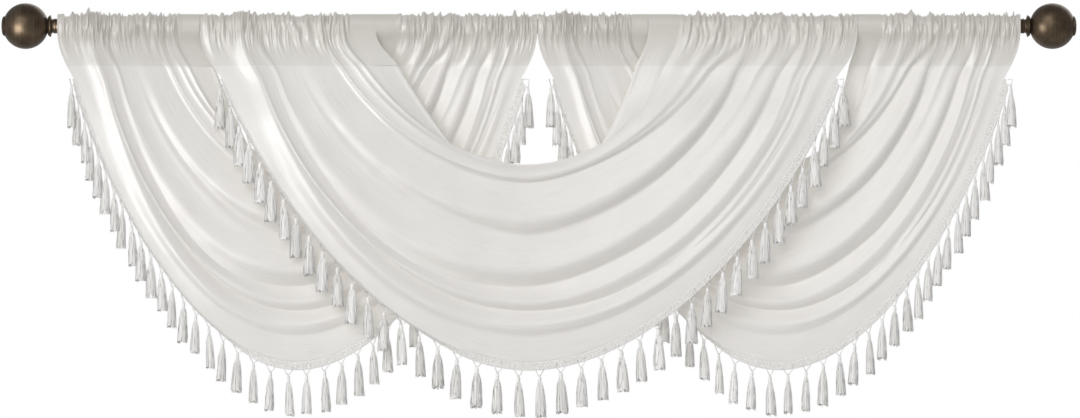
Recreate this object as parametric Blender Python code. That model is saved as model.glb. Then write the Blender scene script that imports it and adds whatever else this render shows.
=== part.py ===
"""Three satin swag valances with tassel fringe, hung together on one pole with two ball finials.

Sizes in the tables are millimetres and the model is in metres. X runs along the pole, the front of
the cloth faces -Y and Z is up. The origin is the middle of the pole's axis.
"""
import math
from collections import namedtuple

import bmesh
import bpy
from mathutils import Vector

MM = 0.001

# Pole, collars and finials
POLE_RADIUS = 17.5
POLE_HALF_LENGTH = 1160.0
TURNED_SIDES = 20
SHARP_ANGLE = 35.0
FIT_GAP = 0.3
# The collar as distances from the pole's end and radii: a neck, a cove, a ring and the ball's seat.
COLLAR = ((0.0, 18.5), (5.0, 18.5), (9.0, 20.5), (11.0, 25.5), (12.0, 26.5), (15.5, 26.5),
          (16.5, 25.0), (18.5, 21.0))
BALL_RADIUS = 55.0
BALL_CENTRE = 1232.0
BALL_RINGS = 9
BUTTON_RADIUS = 25.0
BUTTON_DOME = ((54.0, 18.0), (58.0, 0.0))

# Cloth
CLOTH_THICKNESS = 2.0
TOP = 31.0
SEAM = -96.0
SLEEVE_SIDE = 18.9
SLEEVE_UPPER = 12.0
SLEEVE_LOWER = -12.0
SLEEVE_MIDDLE = -40.0
SLEEVE_CREST = 30.0
CREST_RISE = 4.0
SEAT_FALL = 8.5
SEATS_PER_POCKET = 3
PLEAT_DEPTH = 7.0
PLEAT_UNEVEN = 0.25
PLEAT_PHASE = 2.4
PLEATS_PER_POCKET = 13
PLEAT_MARGIN = 0.04
PLEAT_AT_SEAM = 0.6
PLEAT_END = -240.0
BACK_PLEAT_TURN = 2.5
FLAT_SHARE = 0.12
POLE_FLARE = 0.012
DRIFT_START = -30.0
DRIFT_END_NECK = -96.0
DRIFT_END_HEM = -150.0
FOLD_START_SHARE = 0.3
FOLD_FULL_BELOW_SEAM = 120.0
FOLD_FREE_BELOW_SEAM = 60.0
HANG_BELOW_SEAM = 160.0
LOW_POINT_SHIFT = -0.05
LOW_POINT_SHARE = 0.25
MERGE_DISTANCE = 0.01
COLUMNS_PER_FOLD = 2
ROWS_PER_SIDE = 8

# The lines of the main folds, from the neckline to the hem. left and right are the places where a
# line leaves the pole, as shares of the swag's half width. drop is its lowest point below TOP. The
# three bows round its left side, its right side and its fall: 1 is straight and 2 is an ellipse.
# The last three say how far it stands forward at its left side, its lowest point and its right.
Fold = namedtuple(
    "Fold", "name left right drop bow_left bow_right bow_down out_left out_mid out_right")
FOLDS = (
    Fold("neckline edge",   0.464, 0.364, 485, 1.05, 2.00, 1.30,  0, -34,  0),
    Fold("inner turn",      0.512, 0.418, 424, 1.30, 2.00, 1.50,  2, -24,  1),
    Fold("roll",            0.562, 0.486, 365, 1.65, 2.00, 1.65, 10,  -2,  5),
    Fold("second ridge",    0.604, 0.540, 388, 1.75, 1.80, 1.70,  8,  16, -2),
    Fold("first crease",    0.632, 0.596, 410, 1.80, 1.65, 1.70, -5,  10, -6),
    Fold("broad fold",      0.686, 0.650, 475, 1.80, 1.65, 1.70,  5,  20,  8),
    Fold("second crease",   0.735, 0.696, 535, 1.80, 1.65, 1.70, -4,   6, -6),
    Fold("thin fold",       0.781, 0.756, 593, 1.95, 1.70, 1.65,  9,  15,  8),
    Fold("third crease",    0.811, 0.811, 653, 2.10, 1.70, 1.65, -8,   0, -6),
    Fold("narrow fold",     0.842, 0.851, 686, 2.05, 1.80, 1.60, -2,   8,  7),
    Fold("fourth crease",   0.866, 0.893, 715, 2.00, 1.90, 1.50, -4,   1, -5),
    Fold("edge fold",       0.903, 0.932, 752, 2.00, 1.90, 1.45, 14,  11,  5),
    Fold("fifth crease",    0.952, 0.962, 784, 1.95, 1.90, 1.38,  3,   3, -2),
    Fold("hem",             0.988, 0.990, 836, 1.90, 1.90, 1.30, -6,   0,  0),
)
COLUMNS = (len(FOLDS) - 1) * COLUMNS_PER_FOLD

# Each swag spans the pole from centre - half_width to centre + half_width. seam_neck and seam_hem
# are how far forward its pocket seam hangs at the neckline and at the hem, hang is how far forward
# it hangs below, and hem is the same at its lowest edge. left_pocket and right_pocket widen or
# narrow its pockets, so that each one ends beside its neighbour's.
Swag = namedtuple("Swag", "name centre half_width seam_neck seam_hem hang hem fold_scale"
                          " left_pocket right_pocket")
SWAGS = (
    Swag("left",   -582.0, 574.0, -18.0,   0.0, -14.0,  -8.0, 0.85, 1.102, 1.040),
    Swag("centre",  -25.0, 788.0,  20.0,  20.0,  52.0,  47.0, 1.00, 1.000, 1.000),
    Swag("right",   577.0, 577.0, -18.0,   0.0, -14.0,  -8.0, 0.85, 0.835, 1.051),
)

# Tassel fringe
TAPE_GAP = 0.5
TAPE_WIDTH = 20.0
TAPE_THICKNESS = 2.4
TAPE_START = 0.3
TASSEL_PITCH = 54.0
TASSEL_SPREAD = 0.033
TASSEL_ROOM = 0.8
ROOT_WIDTH = 5.0
# The rings of a tassel: how far below its root, how wide as a size and as a share of the skirt's
# width, and how deep from front to back.
Ring = namedtuple("Ring", "fall width skirt_share depth")
TASSEL = (
    Ring(25.0, 6.5, 0.00, 6.5),
    Ring(48.0, 0.0, 0.75, 10.0),
    Ring(112.0, 0.0, 1.00, 12.0),
)


def clear_scene():
    """Start from an empty scene."""
    for thing in list(bpy.data.objects):
        bpy.data.objects.remove(thing, do_unlink=True)


def make_material(name, colour, roughness, metallic):
    """One plain surface for a kind of piece."""
    material = bpy.data.materials.new(name)
    material.use_nodes = True
    shader = material.node_tree.nodes["Principled BSDF"]
    shader.inputs["Base Color"].default_value = (*colour, 1.0)
    shader.inputs["Roughness"].default_value = roughness
    shader.inputs["Metallic"].default_value = metallic
    return material


def add_object(name, bm, material):
    """Turn a finished bmesh into a named object with its material."""
    mesh = bpy.data.meshes.new(name)
    bm.to_mesh(mesh)
    bm.free()
    mesh.materials.append(material)
    thing = bpy.data.objects.new(name, mesh)
    bpy.context.collection.objects.link(thing)
    return thing


def ease(value):
    """Smooth step from 0 to 1."""
    share = min(max(value, 0.0), 1.0)
    return share * share * (3.0 - 2.0 * share)


# Turned pieces

def turn(name, profile, material, mirrored):
    """Spin a profile of (x, radius) pairs round the pole's axis; its ends lie on the axis."""
    bm = bmesh.new()
    side = -1.0 if mirrored else 1.0
    points = [bm.verts.new((side * x * MM, 0.0, radius * MM)) for x, radius in profile]
    edges = [bm.edges.new(pair) for pair in zip(points, points[1:])]
    bmesh.ops.spin(bm, geom=points + edges, axis=(1, 0, 0), cent=(0, 0, 0),
                   angle=math.tau, steps=TURNED_SIDES, use_merge=True)
    bmesh.ops.remove_doubles(bm, verts=bm.verts[:], dist=MERGE_DISTANCE * MM)
    bmesh.ops.recalc_face_normals(bm, faces=bm.faces[:])
    thing = add_object(name, bm, material)
    thing.data.shade_smooth()
    thing.data.set_sharp_from_angle(angle=math.radians(SHARP_ANGLE))
    return thing


def pole_profile():
    """A plain round pole."""
    return [(-POLE_HALF_LENGTH, 0.0), (-POLE_HALF_LENGTH, POLE_RADIUS),
            (POLE_HALF_LENGTH, POLE_RADIUS), (POLE_HALF_LENGTH, 0.0)]


def collar_profile():
    """A short neck that flares in a cove to a ring, with a smaller seat for the ball."""
    start = POLE_HALF_LENGTH + FIT_GAP
    outline = [(start + along, radius) for along, radius in COLLAR]
    return [(start, 0.0), *outline, (outline[-1][0], 0.0)]


def ball_profile():
    """A ball seated on the collar, with a low domed button on its outer end."""
    start = POLE_HALF_LENGTH + 2 * FIT_GAP + COLLAR[-1][0]
    seat_angle = math.acos((BALL_CENTRE - start) / BALL_RADIUS)
    button_angle = math.asin(BUTTON_RADIUS / BALL_RADIUS)
    profile = [(start, 0.0), (start, BALL_RADIUS * math.sin(seat_angle))]
    for ring in range(1, BALL_RINGS + 1):
        angle = seat_angle + (math.pi - seat_angle - button_angle) * ring / BALL_RINGS
        profile.append((BALL_CENTRE - BALL_RADIUS * math.cos(angle), BALL_RADIUS * math.sin(angle)))
    return profile + [(BALL_CENTRE + reach, radius) for reach, radius in BUTTON_DOME]


def build_pole(bronze):
    """The pole and, at each end, a collar and a ball."""
    turn("rod", pole_profile(), bronze, mirrored=False)
    for side, mirrored in (("left", True), ("right", False)):
        turn(f"collar_{side}", collar_profile(), bronze, mirrored)
        turn(f"finial_{side}", ball_profile(), bronze, mirrored)


# Cloth

def fold_value(column, t):
    """A column of FOLDS at t, which runs from 0 at the neckline to 1 at the hem, rounded off."""
    last = len(FOLDS) - 1
    place = min(max(t, 0.0), 1.0) * last
    row = min(int(place), last - 1)
    part = place - row
    before, here, after, beyond = (
        getattr(FOLDS[min(max(row + step, 0), last)], column) for step in (-1, 0, 1, 2))
    slope_here = (after - before) / 2
    slope_after = (beyond - here) / 2
    gap = after - here
    return (here + slope_here * part + (3 * gap - 2 * slope_here - slope_after) * part ** 2
            + (slope_here + slope_after - 2 * gap) * part ** 3)


def pole_reach(swag, side, t):
    """Where column t leaves the pole, as a share of the half width; side is -1 or 1."""
    if side > 0:
        return 1.0 - (1.0 - fold_value("right", t)) * swag.right_pocket
    return 1.0 - (1.0 - fold_value("left", t)) * swag.left_pocket


def low_point(t):
    """Where column t is lowest, as a share of the half width."""
    return LOW_POINT_SHIFT * (1.0 - ease(t / LOW_POINT_SHARE))


def line_x(swag, side, t, spread, z):
    """X of column t at height z, where spread is 0 at its lowest point and 1 at the pole. Near the
    pole the cloth hangs straight down, so that neighbouring pockets stay apart."""
    low = low_point(t)
    reach = side * pole_reach(swag, side, t) - low
    drift_end = DRIFT_END_NECK + (DRIFT_END_HEM - DRIFT_END_NECK) * t
    drift = ease((DRIFT_START - z) / (DRIFT_START - drift_end))
    straight = 1.0 + POLE_FLARE * t
    return swag.centre + swag.half_width * (low + reach * (straight + (spread - straight) * drift))


def bow(side, t):
    """How round the left or the right side of column t is."""
    return fold_value("bow_left" if side < 0 else "bow_right", t)


def pleat(t, side):
    """Depth of the gathers at the pocket, none on the flat strip beside the neckline."""
    number = round(t * PLEATS_PER_POCKET)
    uneven = 1.0 - PLEAT_UNEVEN + PLEAT_UNEVEN * math.sin(PLEAT_PHASE * number + side)
    wave = 0.5 - 0.5 * math.cos(math.tau * PLEATS_PER_POCKET * t)
    begin = ease((t - PLEAT_MARGIN) / FLAT_SHARE)
    end = ease((1.0 + PLEAT_MARGIN - t) / (2 * PLEAT_MARGIN))
    return PLEAT_DEPTH * uneven * wave * begin * end


def crest(t, side):
    """Height of the pocket's top edge, low where the cloth sits down on the pole."""
    seat = max(0.0, math.cos(math.tau * SEATS_PER_POCKET * t + side)) ** 4
    return SLEEVE_CREST + CREST_RISE * pleat(t, side) / PLEAT_DEPTH - SEAT_FALL * seat


def seam_out(swag, t):
    """How far forward the pocket's seam hangs at column t."""
    return swag.seam_neck + (swag.seam_hem - swag.seam_neck) * t


def layer_out(swag, side, t, z, front):
    """How far forward the pocket's front or back layer lies at height z below the pole."""
    share = (SLEEVE_LOWER - z) / (SLEEVE_LOWER - SEAM)
    crossing = front == (swag.seam_neck < 0)
    if crossing:
        share = 1.0 - (1.0 - share) ** 2
    start = SLEEVE_SIDE if front else -SLEEVE_SIDE
    gather = pleat(t, side) * (1.0 - (1.0 - PLEAT_AT_SEAM) * share)
    level = start + (seam_out(swag, t) - start) * share
    return level + (gather if front else gather * (BACK_PLEAT_TURN * share - 1.0))


def sleeve_point(swag, side, t, z, front):
    """Point of the pocket's front or back layer at height z."""
    depth_share = min((TOP - z) / fold_value("drop", t), 1.0)
    spread = (1.0 - depth_share ** fold_value("bow_down", t)) ** (1.0 / bow(side, t))
    x = line_x(swag, side, t, spread, z)
    if z >= SLEEVE_LOWER:
        out = SLEEVE_SIDE + pleat(t, side)
        return Vector((x, -out if front else out, z)) * MM
    return Vector((x, -layer_out(swag, side, t, z, front), z)) * MM


def seam_angle(t):
    """Angle from the lowest point at which column t reaches the pocket's seam."""
    share = (TOP - SEAM) / fold_value("drop", t)
    return math.acos(share ** (fold_value("bow_down", t) / 2.0))


def hanging_point(swag, side, t, row_share):
    """Point below the seam; row_share runs from 0 at the lowest point to 1 at the seam."""
    angle = seam_angle(t) * row_share
    spread = math.sin(angle) ** (2.0 / bow(side, t))
    z = TOP - fold_value("drop", t) * math.cos(angle) ** (2.0 / fold_value("bow_down", t))
    below = SEAM - z
    at_side = math.sin(angle) ** 2
    out_side = fold_value("out_left" if side < 0 else "out_right", t)
    out = out_side * at_side + fold_value("out_mid", t) * (1.0 - at_side)
    fold_share = FOLD_START_SHARE + (1.0 - FOLD_START_SHARE) * ease(below / FOLD_FULL_BELOW_SEAM)
    hang = swag.hang + (swag.hem - swag.hang) * t * t
    level = seam_out(swag, t) + (hang - seam_out(swag, t)) * ease(below / HANG_BELOW_SEAM)
    gather = PLEAT_AT_SEAM * pleat(t, side) * (1.0 - ease(below / (SEAM - PLEAT_END)))
    fold = out * swag.fold_scale * fold_share * ease(below / FOLD_FREE_BELOW_SEAM)
    y = -(level + fold + gather)
    return Vector((line_x(swag, side, t, spread, z), y, z)) * MM


def column_points(swag, t):
    """One line of the cloth: up the back of the left pocket, over the pole, down through the
    swag's lowest point, up to the right pocket, over the pole and down its back to the seam."""
    rows = ROWS_PER_SIDE
    levels = (SLEEVE_MIDDLE, SLEEVE_LOWER, SLEEVE_UPPER)
    halves = []
    for side in (-1, 1):
        seam = hanging_point(swag, side, t, 1.0)
        top = Vector((line_x(swag, side, t, 1.0, TOP), 0.0, crest(t, side))) * MM
        back = [sleeve_point(swag, side, t, z, front=False) for z in levels]
        front = [sleeve_point(swag, side, t, z, front=True) for z in reversed(levels)]
        hanging = [hanging_point(swag, side, t, row / rows) for row in range(rows - 1, 0, -1)]
        halves.append([seam, *back, top, *front, seam, *hanging])
    left, right = halves
    return left + [hanging_point(swag, -1, t, 0.0)] + right[::-1]


def build_panel(swag, satin):
    """One swag: a sheet bent into two pole pockets, gathered there and draped between them."""
    columns = [column_points(swag, column / COLUMNS) for column in range(COLUMNS + 1)]
    rows = len(columns[0])
    bm = bmesh.new()
    bmesh.ops.create_grid(bm, x_segments=COLUMNS, y_segments=rows - 1, size=1.0)
    for vert in bm.verts:
        column = round((vert.co.x + 1.0) / 2.0 * COLUMNS)
        row = round((vert.co.y + 1.0) / 2.0 * (rows - 1))
        vert.co = columns[column][row]
    bmesh.ops.remove_doubles(bm, verts=bm.verts[:], dist=MERGE_DISTANCE * MM)
    thing = add_object(f"panel_{swag.name}", bm, satin)
    thing.data.shade_smooth()
    shell = thing.modifiers.new("Thickness", "SOLIDIFY")
    shell.solidify_mode = "NON_MANIFOLD"
    shell.nonmanifold_thickness_mode = "CONSTRAINTS"
    shell.thickness = CLOTH_THICKNESS * MM
    shell.offset = 0.0
    return thing


# Fringe

def hem_lines(swag):
    """The hem below the pockets, and the direction that leads out of the cloth there."""
    inner_t = 1.0 - 1.0 / COLUMNS
    points = []
    for row in range(-ROWS_PER_SIDE, ROWS_PER_SIDE + 1):
        side = -1 if row < 0 else 1
        edge = hanging_point(swag, side, 1.0, abs(row) / ROWS_PER_SIDE)
        inner = hanging_point(swag, side, inner_t, abs(row) / ROWS_PER_SIDE)
        points.append((edge, (edge - inner).normalized()))
    return points


def tassels_per_stretch():
    """How many tassels hang from each stretch of the hem, the same on all three swags."""
    widest = max(SWAGS, key=lambda swag: swag.half_width)
    hem = [edge for edge, _ in hem_lines(widest)]
    stretches = [(after - here).length for here, after in zip(hem, hem[1:])]
    stretches[0] *= 1.0 - TAPE_START
    stretches[-1] *= 1.0 - TAPE_START
    return [max(1, round(stretch / (TASSEL_PITCH * MM))) for stretch in stretches]


def tape_stations(swag):
    """Places along the hem as (edge point, outward direction, root) where root marks the start
    of a tassel's root."""
    hem = hem_lines(swag)
    counts = tassels_per_stretch()
    stations = []
    for number, ((here, out_here), (after, out_after)) in enumerate(zip(hem, hem[1:])):
        first, last = number == 0, number == len(counts) - 1
        begin = TAPE_START if first else 0.0
        end = 1.0 - TAPE_START if last else 1.0
        half_root = ROOT_WIDTH * MM / 2 / (after - here).length
        places = [(begin, False)]
        for tassel in range(counts[number]):
            middle = begin + (end - begin) * (tassel + 0.5) / counts[number]
            places += [(middle - half_root, True), (middle + half_root, False)]
        if last:
            places.append((end, False))
        for share, root in places:
            out = out_here.lerp(out_after, share).normalized()
            stations.append((here.lerp(after, share), out, root))
    return stations


def tape_section(stations, number):
    """The tape's four corners at a station: upper front, upper back, lower back, lower front."""
    edge, out, _ = stations[number]
    before = stations[max(number - 1, 0)][0]
    after = stations[min(number + 1, len(stations) - 1)][0]
    across = (after - before).cross(out).normalized()
    if across.y > 0:
        across = -across
    half = across * TAPE_THICKNESS * MM / 2
    upper = edge + out * TAPE_GAP * MM
    lower = edge + out * (TAPE_GAP + TAPE_WIDTH) * MM
    return [upper + half, upper - half, lower - half, lower + half]


def extrude_to(bm, face, places):
    """Extrude one face so that each of its corners lands on its place; returns the new face and
    the new corner of each old one."""
    old = list(face.verts)
    result = bmesh.ops.extrude_discrete_faces(bm, faces=[face])
    new_face = result["faces"][0]
    new = dict(zip(old, new_face.verts))
    for vert, corner in new.items():
        corner.co = places[vert]
    return new_face, new


def hang_tassel(bm, face, left_verts, front_verts, skirt_width):
    """Draw one tassel down from its root, a face of the tape's lower edge."""
    middle = sum((vert.co for vert in face.verts), Vector()) / len(face.verts)
    for ring in TASSEL:
        width = ring.width + ring.skirt_share * skirt_width
        places = {}
        for vert in face.verts:
            across = -width / 2 if vert in left_verts else width / 2
            forward = -ring.depth / 2 if vert in front_verts else ring.depth / 2
            offset = Vector((across, forward, -ring.fall))
            places[vert] = middle + offset * MM
        face, new = extrude_to(bm, face, places)
        left_verts = {new[vert] for vert in left_verts}
        front_verts = {new[vert] for vert in front_verts}


def build_fringe(swag, yarn):
    """The tape along one hem and its tassels, drawn out of the tape's lower edge."""
    stations = tape_stations(swag)
    roots = [number for number, station in enumerate(stations) if station[2]]
    bm = bmesh.new()
    corners = [bm.verts.new(corner) for corner in tape_section(stations, 0)]
    face = bm.faces.new(corners)
    root_faces = []
    for number in range(1, len(stations)):
        old = corners
        places = dict(zip(old, tape_section(stations, number)))
        face, new = extrude_to(bm, face, places)
        corners = [new[vert] for vert in old]
        if number - 1 in roots:
            lower = bm.faces.get((old[2], old[3], corners[3], corners[2]))
            root_faces.append((lower, {old[2], old[3]}, {old[3], corners[3]}))
    bmesh.ops.holes_fill(bm, edges=[edge for edge in bm.edges if edge.is_boundary])
    middles = [sum((vert.co.x for vert in root[0].verts)) / 4 / MM for root in root_faces]
    for number, (lower, left_verts, front_verts) in enumerate(root_faces):
        near = [abs(other - middles[number]) for other in middles if other != middles[number]]
        skirt_width = min(TASSEL_SPREAD * swag.half_width, TASSEL_ROOM * min(near))
        hang_tassel(bm, lower, left_verts, front_verts, skirt_width)
    bmesh.ops.recalc_face_normals(bm, faces=bm.faces[:])
    return add_object(f"fringe_{swag.name}", bm, yarn)


def main():
    """Build the pole, the three swags and their fringes."""
    clear_scene()
    bronze = make_material("antique bronze", (0.052, 0.040, 0.028), 0.38, 0.85)
    satin = make_material("ivory satin", (0.80, 0.78, 0.74), 0.42, 0.0)
    yarn = make_material("ivory yarn", (0.78, 0.77, 0.74), 0.75, 0.0)
    build_pole(bronze)
    for swag in SWAGS:
        build_panel(swag, satin)
        build_fringe(swag, yarn)


main()
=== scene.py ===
"""Dresses three satin swag valances with tassel fringe, hung on one pole with two ball finials.

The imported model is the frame: each piece here stands in the place of its solid and rides with it.
Sizes in the classes and tables are millimetres, and MM turns them to the scene's metres. X runs
along the pole, the front of the cloth faces -Y and Z is up.
"""
import logging
import math
import random
from dataclasses import dataclass, fields
from enum import Enum
from functools import lru_cache

import bmesh
import bpy
from mathutils import Matrix, Vector, noise


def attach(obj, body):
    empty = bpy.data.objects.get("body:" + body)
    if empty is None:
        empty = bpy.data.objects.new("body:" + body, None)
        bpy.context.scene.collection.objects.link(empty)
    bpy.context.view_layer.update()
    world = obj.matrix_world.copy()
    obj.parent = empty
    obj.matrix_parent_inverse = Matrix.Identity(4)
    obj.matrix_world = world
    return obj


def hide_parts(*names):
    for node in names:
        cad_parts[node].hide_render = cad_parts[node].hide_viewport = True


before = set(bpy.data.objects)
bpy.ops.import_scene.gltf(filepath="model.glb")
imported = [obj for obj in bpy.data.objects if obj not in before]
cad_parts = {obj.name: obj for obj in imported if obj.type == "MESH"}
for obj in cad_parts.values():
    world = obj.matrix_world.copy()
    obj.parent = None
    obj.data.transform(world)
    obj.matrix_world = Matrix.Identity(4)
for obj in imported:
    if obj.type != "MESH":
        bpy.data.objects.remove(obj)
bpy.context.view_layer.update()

MM = 0.001
BODY = "root"
UP = Vector((0.0, 0.0, 1.0))
TONE = "tone"
log = logging.getLogger("swags")


class Side(Enum):
    """The two halves of a swag, seen from the front."""

    LEFT = -1
    RIGHT = 1


class Slot(Enum):
    """The record's material slots."""

    SATIN = "satin"
    YARN = "fringe_yarn"
    BRONZE = "antique_bronze"


# Small helpers

def ease(value: float) -> float:
    """Return a smooth step from 0 to 1 for a value from 0 to 1."""
    share = min(max(value, 0.0), 1.0)
    return share * share * (3.0 - 2.0 * share)


def around(table: tuple | list, row: int) -> list:
    """Return a table's entries before, at, after and beyond a row, kept within its ends."""
    return [table[min(max(row + step, 0), len(table) - 1)] for step in (-1, 0, 1, 2)]


def rounded(before: float, here: float, after: float, beyond: float, part: float) -> float:
    """Return the value part of the way from here to after, rounded off through its neighbours.

    Args:
        before: The value before here.
        here: The value at part 0.
        after: The value at part 1.
        beyond: The value after that.
        part: The place between here and after, from 0 to 1.

    Returns:
        The value on a smooth curve through all four.
    """
    slope_here = (after - before) / 2
    slope_after = (beyond - here) / 2
    gap = after - here
    return (here + slope_here * part + (3 * gap - 2 * slope_here - slope_after) * part ** 2
            + (slope_here + slope_after - 2 * gap) * part ** 3)


def linear(colour: str) -> tuple[float, float, float, float]:
    """Turn an sRGB hex colour, such as #E6E3DC, to the linear RGBA that a shader takes."""
    channels = (int(colour[start:start + 2], 16) / 255 for start in (1, 3, 5))
    return (*(c / 12.92 if c <= 0.04045 else ((c + 0.055) / 1.055) ** 2.4 for c in channels), 1.0)


def add_node(tree: bpy.types.NodeTree, kind: str, settings: dict | None = None,
             links: dict | None = None) -> bpy.types.Node:
    """Add one node with its settings and links.

    Args:
        tree: The material's or world's node tree.
        kind: The node's type.
        settings: Values by the name or number of an input, or by the name of a property.
        links: Output sockets by the name or number of the input that they feed.

    Returns:
        The new node.
    """
    node = tree.nodes.new(kind)
    for key, value in (settings or {}).items():
        if isinstance(key, int) or key in node.inputs:
            node.inputs[key].default_value = value
        else:
            setattr(node, key, value)
    for key, source in (links or {}).items():
        tree.links.new(source, node.inputs[key])
    return node


def new_material(name: str) -> tuple[bpy.types.Material, bpy.types.NodeTree, bpy.types.Node]:
    """Make a material and return it with its node tree and its Principled shader."""
    material = bpy.data.materials.new(name)
    material.use_nodes = True
    tree = material.node_tree
    return material, tree, tree.nodes["Principled BSDF"]


def add_noise(tree: bpy.types.NodeTree, place: bpy.types.NodeSocket, size: tuple,
              detail: float = 2.0) -> bpy.types.NodeSocket:
    """Add a noise and return its value.

    Args:
        tree: The material's node tree.
        place: The coordinates that it follows, in metres.
        size: The size of its grains along each axis, in millimetres.
        detail: How many finer layers lie on it.

    Returns:
        The noise's value, from 0 to 1.
    """
    scaled = add_node(tree, "ShaderNodeMapping", {"Scale": [1 / (side * MM) for side in size]},
                      {0: place})
    return add_node(tree, "ShaderNodeTexNoise", {"Scale": 1.0, "Detail": detail},
                    {"Vector": scaled.outputs[0]}).outputs["Fac"]


def add_range(tree: bpy.types.NodeTree, value: bpy.types.NodeSocket, given: tuple,
              wanted: tuple) -> bpy.types.NodeSocket:
    """Add a clamped range and return the value, turned from given's two ends to wanted's."""
    return add_node(tree, "ShaderNodeMapRange", {
        1: given[0], 2: given[1], 3: wanted[0], 4: wanted[1]}, {0: value}).outputs[0]


def add_mix(tree: bpy.types.NodeTree, share: bpy.types.NodeSocket,
            first: str | bpy.types.NodeSocket, second: str) -> bpy.types.NodeSocket:
    """Add a mix of two colours and return it.

    Args:
        tree: The material's node tree.
        share: The second colour's share.
        first: A socket or an sRGB hex colour.
        second: An sRGB hex colour.

    Returns:
        The mixed colour.
    """
    mix = add_node(tree, "ShaderNodeMix", {"data_type": "RGBA", 7: linear(second)}, {0: share})
    if isinstance(first, str):
        mix.inputs[6].default_value = linear(first)
    else:
        tree.links.new(first, mix.inputs[6])
    return mix.outputs[2]


def add_bump(tree: bpy.types.NodeTree, height: bpy.types.NodeSocket, strength: float,
             depth: float, below: bpy.types.NodeSocket | None = None) -> bpy.types.NodeSocket:
    """Add a bump and return its normals.

    Args:
        tree: The material's node tree.
        height: The relief, from 0 to 1.
        strength: How much of it shows.
        depth: Its depth in millimetres.
        below: The normals of the bump that it lies on.

    Returns:
        The bumped normals.
    """
    links = {"Height": height} if below is None else {"Height": height, "Normal": below}
    return add_node(tree, "ShaderNodeBump", {"Strength": strength, "Distance": depth * MM},
                    links).outputs[0]


def add_piece(name: str, bm: bmesh.types.BMesh, material: bpy.types.Material,
              nodes: tuple[str, ...] = ()) -> bpy.types.Object:
    """Turn a finished bmesh into a piece that rides on the body.

    Args:
        name: The piece's name.
        bm: Its mesh, which is freed here.
        material: Its finish.
        nodes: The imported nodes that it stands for.

    Returns:
        The new piece.
    """
    for face in bm.faces:
        face.smooth = True
    mesh = bpy.data.meshes.new(name)
    bm.to_mesh(mesh)
    bm.free()
    mesh.materials.append(material)
    piece = bpy.data.objects.new(name, mesh)
    bpy.context.collection.objects.link(piece)
    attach(piece, BODY)
    if nodes:
        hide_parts(*nodes)
    log.info("%s: %d faces", name, len(mesh.polygons))
    return piece


def set_tones(piece: bpy.types.Object, tones: list[float]) -> None:
    """Store a tone for each vertex of a piece, from 0 for light to 1 for dark."""
    piece.data.attributes.new(TONE, "FLOAT", "POINT").data.foreach_set("value", tones)


def thicken(piece: bpy.types.Object, thickness: float) -> None:
    """Give a sheet its thickness in millimetres, half of it to each side."""
    shell = piece.modifiers.new("Thickness", "SOLIDIFY")
    shell.thickness = thickness * MM
    shell.offset = 0.0


def turn_profile(bm: bmesh.types.BMesh, points: list[Vector], axis: Vector, sides: int) -> None:
    """Turn a profile, given by points in millimetres, round an axis through the origin."""
    verts = [bm.verts.new(point * MM) for point in points]
    edges = [bm.edges.new(pair) for pair in zip(verts, verts[1:])]
    bmesh.ops.spin(bm, geom=verts + edges, axis=axis, cent=(0, 0, 0), angle=math.tau, steps=sides,
                   use_merge=True)


def draw_tube(bm: bmesh.types.BMesh, path: list[Vector], radius: float, sides: int) -> None:
    """Draw a tube of a few sides along a path by extruding its first ring.

    Args:
        bm: The bmesh that it is drawn in.
        path: The points of its centreline, in metres.
        radius: Its radius, in metres.
        sides: The number of sides.
    """
    ring = bmesh.ops.create_circle(bm, cap_ends=True, segments=sides, radius=1.0)["verts"]
    face = ring[0].link_faces[0]
    shape = [vert.co.copy() for vert in face.verts]
    for number, point in enumerate(path):
        if number:
            face = bmesh.ops.extrude_discrete_faces(bm, faces=[face])["faces"][0]
        ahead = path[min(number + 1, len(path) - 1)] - path[max(number - 1, 0)]
        turn = UP.rotation_difference(ahead.normalized())
        for vert, corner in zip(face.verts, shape):
            vert.co = point + turn @ (corner * radius)


# Finishes

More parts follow.
